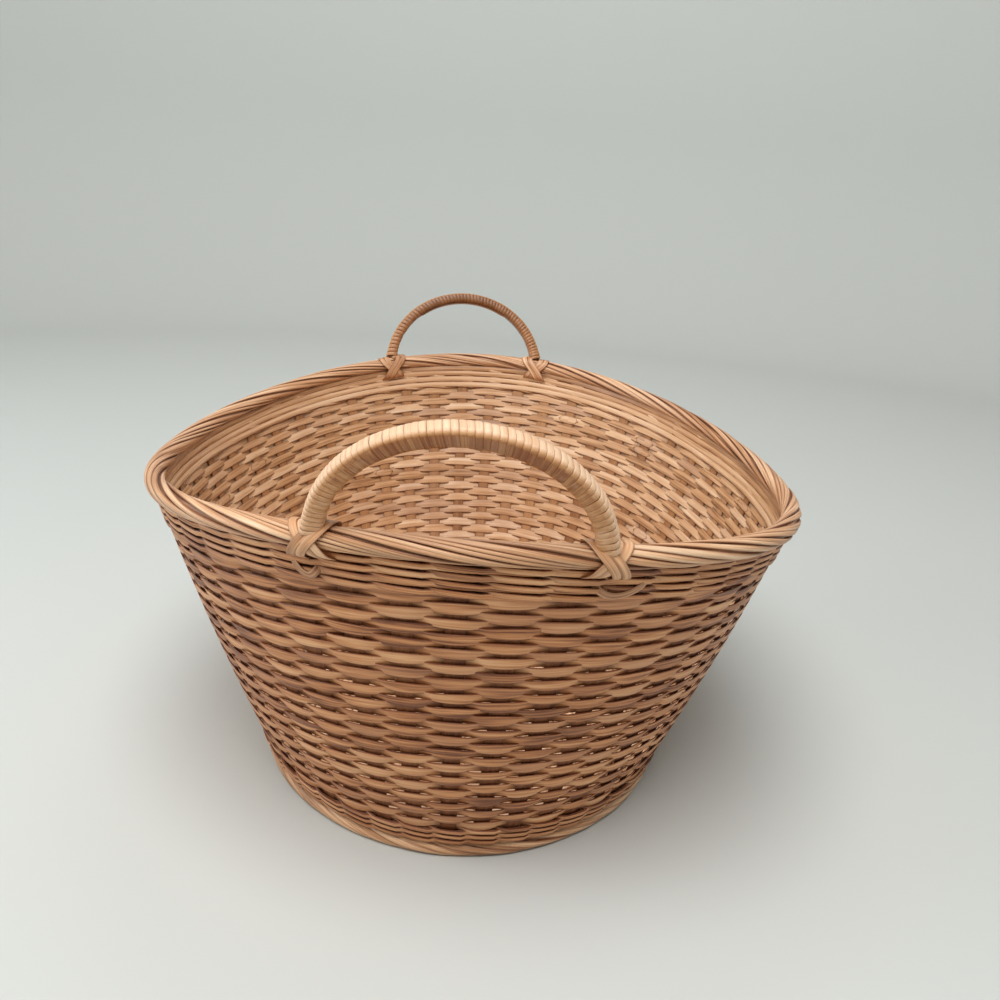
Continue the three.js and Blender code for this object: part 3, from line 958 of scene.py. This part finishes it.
class Bow:
    def __init__(self, middleAngle):
        half = handleBow["halfGaps"] * stakePitch
        left = wallPoint(middleAngle - half, 1.0)
        right = wallPoint(middleAngle + half, 1.0)
        across = unit(right - left)
        out = unit(np.cross(across, upright))
        lean = math.radians(handleBow["lean"])
        rise = np.cross(out, across) * math.cos(lean) + out * math.sin(lean)
        turn = np.linspace(0, math.pi, handleBow["archStations"])
        halfSpan = np.linalg.norm(right - left) / 2
        arch = (left + right) / 2 - column(np.cos(turn)) * across * halfSpan
        arch = arch + column(np.sin(turn)) * rise * handleBow["rise"]
        leg = column(np.linspace(-handleBow["legDepth"], 0, handleBow["legStations"])[:-1]) * rise
        self.points = np.vstack([left + leg, arch, (right + leg)[::-1]])
        self.distances = pathLengths(self.points) - handleBow["legDepth"]
        self.length = self.distances[-1] - handleBow["legDepth"]
        self.normal = unit(np.cross(across, rise))

    def at(self, distance):
        places = [np.interp(distance, self.distances, self.points[:, axis]) for axis in range(3)]
        return np.stack(places, axis=-1)

    # Place on the bow and direction out of its curve
    def frame(self, distance):
        probe = handleBow["probe"]
        ahead = unit(self.at(distance + probe) - self.at(distance - probe))
        return self.at(distance), unit(np.cross(self.normal, ahead))


def coreStrand(bow, coreRadius):
    inset = 1.1 * handleBow["probe"]  # keeps both steps on the bow
    depth = handleBow["legDepth"]
    distance = np.linspace(-depth, bow.length + depth, handleBow["rodStations"])
    point, side = bow.frame(np.clip(distance, bow.distances[0] + inset, bow.distances[-1] - inset))
    level = np.broadcast_to(bow.normal, point.shape)
    return strand(point, level, side, coreRadius, coreRadius, handleBow["rodTone"], taper=1)


# One unbroken strip, wound from foot to foot
def woundStrand(bow, coreRadius, random):
    first = basket["borderRadius"] - handleBow["footOverlap"]
    last = bow.length - first
    spots = np.linspace(first, last, handleBow["pitchStations"])
    pitch = np.interp(spots, (first, last), (handleBow["leftPitch"], handleBow["rightPitch"]))
    turnsTo = runningSum(np.diff(spots) / pitch[1:])
    turn = np.linspace(0, turnsTo[-1], int(turnsTo[-1] * handleBow["stationsEach"]))
    distance = np.interp(turn, turnsTo, spots)
    feet = np.minimum(distance - first, last - distance)
    top = np.clip(feet / (handleBow["legShare"] * bow.length), 0, 1)
    halfThick = between(handleBow["legThick"], handleBow["stripThick"], top)
    cover = between(handleBow["legCover"], handleBow["stripCover"], top)
    halfWide = np.interp(distance, spots, pitch) * cover
    places = np.arange(int(turnsTo[-1]) + 3)
    jitter = np.interp(turn, places, random.normal(0, 1, len(places)))
    distance = distance + handleBow["pitchJitter"] * jitter
    feet = np.minimum(distance - first, last - distance)
    flare = np.clip(1 - feet / handleBow["flareLength"], 0, 1) ** handleBow["flarePower"]
    power = handleBow["squareness"]
    cosine = np.cos(2 * math.pi * turn)
    sine = np.sin(2 * math.pi * turn)
    square = (np.abs(cosine) ** power + np.abs(sine) ** power) ** (-1 / power)
    radius = coreRadius + halfThick + handleBow["clearance"] + handleBow["flare"] * flare
    jitter = np.interp(turn + 0.5, places, random.normal(0, 1, len(places)))
    radius = radius * square + handleBow["radiusJitter"] * jitter
    point, side = bow.frame(distance)
    face = side * column(cosine) + bow.normal * column(sine)
    centre = point + face * column(radius)
    # painted light and shade: pale on the outer side of the winding, darker on its inner sides
    shadedSideTone = between(handleBow["legPaintedShadeTone"], handleBow["paintedShadeTone"], top)
    tone = between(shadedSideTone, handleBow["paintedLitTone"], np.interp(cosine, handleBow["paintedLightEdge"], (0, 1)))
    return laidStrand(centre, face, halfWide, halfThick, tone, taper=3)


def leaderStrand(bow, coreRadius):
    point, side = bow.frame(np.linspace(leader["start"], leader["end"], leader["stations"]) * bow.length)
    fromMiddle = np.abs(np.linspace(-1, 1, leader["stations"]))
    dip = np.clip(fromMiddle - (1 - leader["endShare"]), 0, 1) / leader["endShare"]
    below = coreRadius + leader["depth"] * handleBow["stripThick"] + leader["clearance"]
    centre = point - side * column(below - leader["endDip"] * dip)
    return laidStrand(centre, centre - point, leader["half"], leader["thick"], leader["tone"], taper=3)


def buildHandle(title, handle):
    random = np.random.default_rng(handle["seed"])
    bow = Bow(handle["middle"])
    piece = strandPiece(title + "_rod", [coreStrand(bow, handle["core"])], handleBow["rodSides"])
    dress(piece, finishes["handleRod"], [title + "_core"])
    strands = [woundStrand(bow, handle["core"], random), leaderStrand(bow, handle["core"])]
    piece = strandPiece(title + "_winding", strands, handleBow["sides"])
    dress(piece, finishes[handle["cane"]], [title + "_wrap"])


for title, handle in handles.items():
    buildHandle(title, handle)

# Cross lashings: two bands of flat cane at each handle foot, from the leg over the border into the wall
lashing = {
    # outwards and upwards from the middle of the border, and how far the front and the back band
    # stand from the leg there, along the border to the bow's middle
    "path": [
        (-0.0030, 0.0064, 0.0080, -0.0080),
        (0.0020, 0.0066, 0.0072, -0.0068),
        (0.0058, 0.0034, 0.0038, -0.0034),
        (0.0069, -0.0015, -0.0015, 0.0005),
        (0.0050, -0.0068, -0.0062, 0.0042),
        (0.0008, -0.0098, -0.0085, 0.0060),
        (-0.0040, -0.0112, -0.0085, 0.0055),
        (-0.0080, -0.0085, -0.0060, 0.0030),
        (-0.0076, -0.0020, 0.0000, -0.0020),
        (-0.0060, 0.0035, 0.0060, -0.0070),
    ],
    "proud": (2, 0),  # strip thicknesses that the front and the back band stand out
    "proudMore": 0.0003,
    "strips": 2,
    "stripHalf": 0.0024,
    "stripStep": 2.1,  # from strip to strip, in half widths
    "stripThick": 0.00036,
    "widths": (0.92, 1.08),
    "tones": (0, 0.5),
    "stations": 90,
    "arcStep": 0.01,  # radians over which the length of the rim is measured
    "tail": [  # a strip end slung under the rows below: along, place on the wall and outwards
        (-0.0265, 0.945, -0.0022),
        (-0.0235, 0.936, 0.0024),
        (-0.0160, 0.914, 0.0030),
        (-0.0070, 0.906, 0.0030),
        (0.0005, 0.918, 0.0026),
        (0.0035, 0.932, -0.0022),
    ],
    "tailHalf": 0.0021,
    "tailTone": 0.3,
    "tailStations": 32,
    "tailReach": (0.5, 1.0, 0.6, 0.8),  # how far the tail goes at each foot
    "sides": 12,
    "seed": 81,
}


def lashingStrands(footAngle, inward, tailReach, random):
    strands = []
    step = lashing["arcStep"]
    arc = np.linalg.norm(wallPoint(footAngle + step, 1.0) - wallPoint(footAngle, 1.0)) / step
    for band, proud in enumerate(lashing["proud"]):
        corners = [(out, up, places[band]) for out, up, *places in lashing["path"]]
        path = smoothPath(corners, lashing["stations"], closed=True)
        slope = np.gradient(np.vstack([path[-2], path, path[1]]), axis=0)[1:-1]
        for strip in range(lashing["strips"]):
            shift = (strip - (lashing["strips"] - 1) / 2) * lashing["stripStep"] * lashing["stripHalf"]
            point, out, rise = ringFrame(footAngle + (inward * path[:, 2] + shift) / arc, 1.0)
            face = unit(rise * column(slope[:, 0]) - out * column(slope[:, 1]))
            lift = proud * lashing["stripThick"] + random.uniform(0, lashing["proudMore"])
            centre = point + out * column(path[:, 0]) + rise * column(path[:, 1]) + face * lift
            tone = random.uniform(*lashing["tones"])
            halfWide = lashing["stripHalf"] * random.uniform(*lashing["widths"])
            strands.append(laidStrand(centre, face, halfWide, lashing["stripThick"], tone))
    tail = smoothPath(lashing["tail"], lashing["tailStations"])
    point, _, out, _ = wallFrame(footAngle + inward * tailReach * tail[:, 0] / arc, tail[:, 1])
    centre = point + out * column(tail[:, 2])
    sizes = (lashing["tailHalf"], lashing["stripThick"])
    strands.append(laidStrand(centre, out, *sizes, lashing["tailTone"], taper=3))
    return strands


def buildLashings():
    random = np.random.default_rng(lashing["seed"])
    half = handleBow["halfGaps"] * stakePitch
    reaches = iter(lashing["tailReach"])
    for title, handle in handles.items():
        for side, inward in (("left", 1), ("right", -1)):
            strands = lashingStrands(handle["middle"] - inward * half, inward, next(reaches), random)
            piece = strandPiece(title + "_lash_" + side, strands, lashing["sides"], flatSection)
            dress(piece, finishes["borderWillow"], [title + "_lashing_" + side])


buildLashings()

# Base: sticks crossed in the middle, their ends fanned to the foot, and rods woven round them
baseForm = {
    "crossSticks": 7,
    "longSticks": 5,
    "crossPitch": 0.024,
    "longPitch": 0.008,
    "stickWidth": 0.005,
    "longWidth": 0.0077,  # the long sticks lie side by side
    "fanStart": 0.008,
    "footGap": 0.0065,
    "level": 0.0050,
    "crossHalfThick": 0.0019,
    "longHalfThick": 0.0013,
    "stickPlaces": (0, 0.25, 0.5, 0.75),  # points on each straight length of a stick
    "stickStations": 48,
    "stickSides": 10,
    "rounds": 23,
    "firstRound": 0.6,  # steps from the cross to the first round
    "roundCover": 1.14,  # width of a round as a share of the step between rounds
    "roundWidths": (0.94, 1.06),
    "roundHalfThick": 0.0019,
    "roundSwing": 0.0027,
    "roundSnap": 1.8,  # how flat a round lies on a stick
    "bindings": 3,  # rounds over the arms of the cross
    "bindingStart": -0.02,  # shares of a stick's way from the cross to the foot
    "bindingStep": -0.035,
    "bindingSwing": 0.0033,
    "bindingReach": 4,
    "bindingHalf": 0.0019,
    "bindingThick": 0.0012,
    "cornerInset": 0.0052,  # a rod in the corner between the base and the wall
    "cornerRise": 0.0012,
    "cornerHalf": 0.0028,
    "cornerThick": 0.0013,
    "stationsEach": 8,
    "roundSides": 8,
    "seed": 91,
}


# Where each arm of a stick leaves the cross and where it ends, in turn round the base
def stickEnds():
    cross = baseForm["crossSticks"]
    long = baseForm["longSticks"]
    half = cross + long
    level = baseForm["level"]
    startX = ((long - 1) * baseForm["longPitch"] + baseForm["stickWidth"]) / 2 + baseForm["fanStart"]
    startY = ((cross - 1) * baseForm["crossPitch"] + baseForm["stickWidth"]) / 2 + baseForm["fanStart"]
    ends = []
    for index in range(2 * half):
        side = 1 if index < half else -1
        place = index % half
        if place < cross:
            spread = side * (place - (cross - 1) / 2)
            start = (side * startX, spread * baseForm["crossPitch"])
        else:
            spread = side * (place - cross - (long - 1) / 2)
            start = (-spread * baseForm["longPitch"], side * startY)
        angle = (index - (cross - 1) / 2) * math.pi / half
        point, out, _ = ringFrame(angle, 0.0)
        end = point - out * baseForm["footGap"]
        ends.append((np.array([*start, level]), np.array([*end[:2], level])))
    return ends


def buildBaseSticks(ends, random):
    cross = baseForm["crossSticks"]
    long = baseForm["longSticks"]
    half = cross + long
    pairs = [(half + cross - 1 - index, index) for index in range(cross)]
    pairs += [(2 * half - 1 - index, cross + index) for index in range(long)]
    sticks = []
    for number, (first, last) in enumerate(pairs):
        corners = [ends[first][1], ends[first][0], ends[last][0], ends[last][1]]
        points = []
        for a, b in zip(corners, corners[1:]):
            points += [between(a, b, share) for share in baseForm["stickPlaces"]]
        centre = smoothPath([*points, corners[-1]], baseForm["stickStations"])
        halfWide = (baseForm["stickWidth"] if number < cross else baseForm["longWidth"]) / 2
        thick = baseForm["crossHalfThick"] if number < cross else baseForm["longHalfThick"]
        sticks.append(laidStrand(centre, upright, halfWide, thick, random.uniform(0, 1), taper=1))
    piece = strandPiece("base_sticks", sticks, baseForm["stickSides"])
    dress(piece, finishes["baseWillow"], nodesWith("_stick_"))


# A closed ring over the arms of all the sticks, at a share of their way to the foot
def stickRing(ends, share):
    corners = [between(start, end, share) for start, end in ends]
    return smoothPath(corners, len(ends) * baseForm["stationsEach"], closed=True)


def wovenRounds(ends, phase, random):
    reach = [np.linalg.norm(end - start) for start, end in ends]
    pitch = np.interp(phase, np.arange(len(ends) + 1), reach + reach[:1]) / baseForm["rounds"]
    rounds = []
    for number in range(baseForm["rounds"]):
        wave = np.cos(math.pi * (phase + number))
        swing = baseForm["roundSwing"] * snapped(wave, baseForm["roundSnap"])
        centre = stickRing(ends, (number + baseForm["firstRound"]) / baseForm["rounds"])
        centre = centre + column(swing) * upright
        halfWide = baseForm["roundCover"] * pitch / 2 * random.uniform(*baseForm["roundWidths"])
        tone = random.uniform(0, 1)
        rounds.append(laidStrand(centre, upright, halfWide, baseForm["roundHalfThick"], tone))
    return rounds


# Rounds that bind the cross: over the arms of the long sticks and under those of the cross sticks
def bindingRounds(ends, phase, random):
    cross = baseForm["crossSticks"]
    half = len(ends) // 2
    place = phase % half
    over = np.where((place > cross - 0.5) & (place < half - 0.5), 1.0, -1.0)
    swing = baseForm["bindingSwing"] * soften(over, baseForm["bindingReach"], "wrap")
    rounds = []
    for number in range(baseForm["bindings"]):
        share = baseForm["bindingStart"] + baseForm["bindingStep"] * number
        centre = stickRing(ends, share) + column(swing) * upright
        sizes = (baseForm["bindingHalf"], baseForm["bindingThick"])
        rounds.append(laidStrand(centre, upright, *sizes, random.uniform(0, 1)))
    return rounds


def cornerRod(random):
    point, out, _ = ringFrame(ringAngles(), 0.0)
    centre = point - out * baseForm["cornerInset"] + upright * baseForm["cornerRise"]
    sizes = (baseForm["cornerHalf"], baseForm["cornerThick"])
    return laidStrand(centre, upright, *sizes, random.uniform(0, 1), taper=1)


def buildBase():
    random = np.random.default_rng(baseForm["seed"])
    ends = stickEnds()
    buildBaseSticks(ends, random)
    each = baseForm["stationsEach"]
    phase = np.arange(len(ends) * each + 1) / each
    rounds = wovenRounds(ends, phase, random) + bindingRounds(ends, phase, random) + [cornerRod(random)]
    piece = strandPiece("base_weave", rounds, baseForm["roundSides"])
    dress(piece, finishes["baseWillow"], nodesWith("_round"))


buildBase()

# Stage: a pale round cove, open above
cove = {
    "floorRadius": 1.9,
    "bendRadius": 0.6,
    "bendSteps": 16,
    "height": 2.4,
    "sides": 96,
    "weld": 1e-5,
    "finish": {"Base Color": tint(206, 208, 204), "Roughness": 0.9, "Specular IOR Level": 0.1},
}


def buildCove():
    bm = bmesh.new()
    middle = bm.verts.new((0, 0, 0))
    edge = bm.verts.new((cove["floorRadius"], 0, 0))
    bm.edges.new((middle, edge))
    bend = bmesh.ops.spin(
        bm,
        geom=[edge],
        cent=(cove["floorRadius"], 0, cove["bendRadius"]),
        axis=(0, -1, 0),
        angle=math.pi / 2,
        steps=cove["bendSteps"],
    )
    top = [item for item in bend["geom_last"] if isinstance(item, bmesh.types.BMVert)]
    wall = bmesh.ops.extrude_vert_indiv(bm, verts=top)
    bmesh.ops.translate(bm, verts=wall["verts"], vec=(0, 0, cove["height"] - cove["bendRadius"]))
    bmesh.ops.spin(
        bm,
        geom=list(bm.verts) + list(bm.edges),
        cent=(0, 0, 0),
        axis=(0, 0, 1),
        angle=2 * math.pi,
        steps=cove["sides"],
        use_merge=True,
    )
    mesh = bpy.data.meshes.new("studio_cove")
    closeMesh(bm, mesh, cove["weld"])
    floor = bpy.data.objects.new("studio_cove", mesh)
    scene.collection.objects.link(floor)
    finish = Finish("studioCove")
    finish.feed(finish.shader, cove["finish"])
    floor.data.materials.append(finish.material)
    print("stage made")


buildCove()

# Light: a broad soft lamp overhead, a weaker one from the left and one for the backdrop
room = {"colour": (1, 1, 1, 1), "strength": 0.3}
lamps = {
    "overhead": {
        "place": (-0.16, -0.9, 1.85),
        "aim": (0, 0, 0.12),
        "size": 1.4,
        "power": 36,
        "colour": (1, 1, 1),
    },
    "left": {
        "place": (-1.7, -0.25, 0.62),
        "aim": (0, 0, 0.12),
        "size": 1.0,
        "power": 10.5,
        "colour": (0.84, 0.94, 1),
    },
    "backdrop": {
        "place": (0, 0.9, 2.2),
        "aim": (0, 2.5, 0.9),
        "size": 1.0,
        "power": 14,
        "colour": (1, 1, 1),
    },
}


def buildLight():
    world = bpy.data.worlds.new("soft_room")
    world.use_nodes = True
    background = world.node_tree.nodes["Background"]
    background.inputs["Color"].default_value = room["colour"]
    background.inputs["Strength"].default_value = room["strength"]
    scene.world = world
    for name, lamp in lamps.items():
        data = bpy.data.lights.new(name, "AREA")
        data.shape = "DISK"
        data.size = lamp["size"]
        data.energy = lamp["power"]
        data.color = lamp["colour"]
        light = bpy.data.objects.new(name, data)
        light.location = lamp["place"]
        aim = Vector(lamp["aim"]) - Vector(lamp["place"])
        light.rotation_euler = aim.to_track_quat("-Z", "Y").to_euler()
        scene.collection.objects.link(light)
    print("lamps placed:", len(lamps))


buildLight()

# Camera where the photograph was taken from
viewpoint = {
    "place": (0.01674, -0.6550, 0.3769),
    "pitch": 17.656,  # degrees below level
    "roll": 4.136,
    "focal": 960,  # pixels
    "frame": 1000,
    "sensor": 36,  # millimetres
}


def buildCamera():
    data = bpy.data.cameras.new("photo_camera")
    data.sensor_width = viewpoint["sensor"]
    data.lens = viewpoint["sensor"] * viewpoint["focal"] / viewpoint["frame"]
    pitch = math.radians(viewpoint["pitch"])
    roll = math.radians(viewpoint["roll"])
    ahead = Vector((0, math.cos(pitch), -math.sin(pitch)))
    above = Vector((0, math.sin(pitch), math.cos(pitch)))
    right = Vector((1, 0, 0))
    turned = right * math.cos(roll) + above * math.sin(roll)
    above = above * math.cos(roll) - right * math.sin(roll)
    camera = bpy.data.objects.new("photo_camera", data)
    axes = Matrix((turned, above, -ahead)).transposed()
    camera.matrix_world = Matrix.Translation(viewpoint["place"]) @ axes.to_4x4()
    scene.collection.objects.link(camera)
    scene.camera = camera


buildCamera()
scene.view_settings.view_transform = "Standard"

bpy.context.view_layer.update()
print("scene ready")
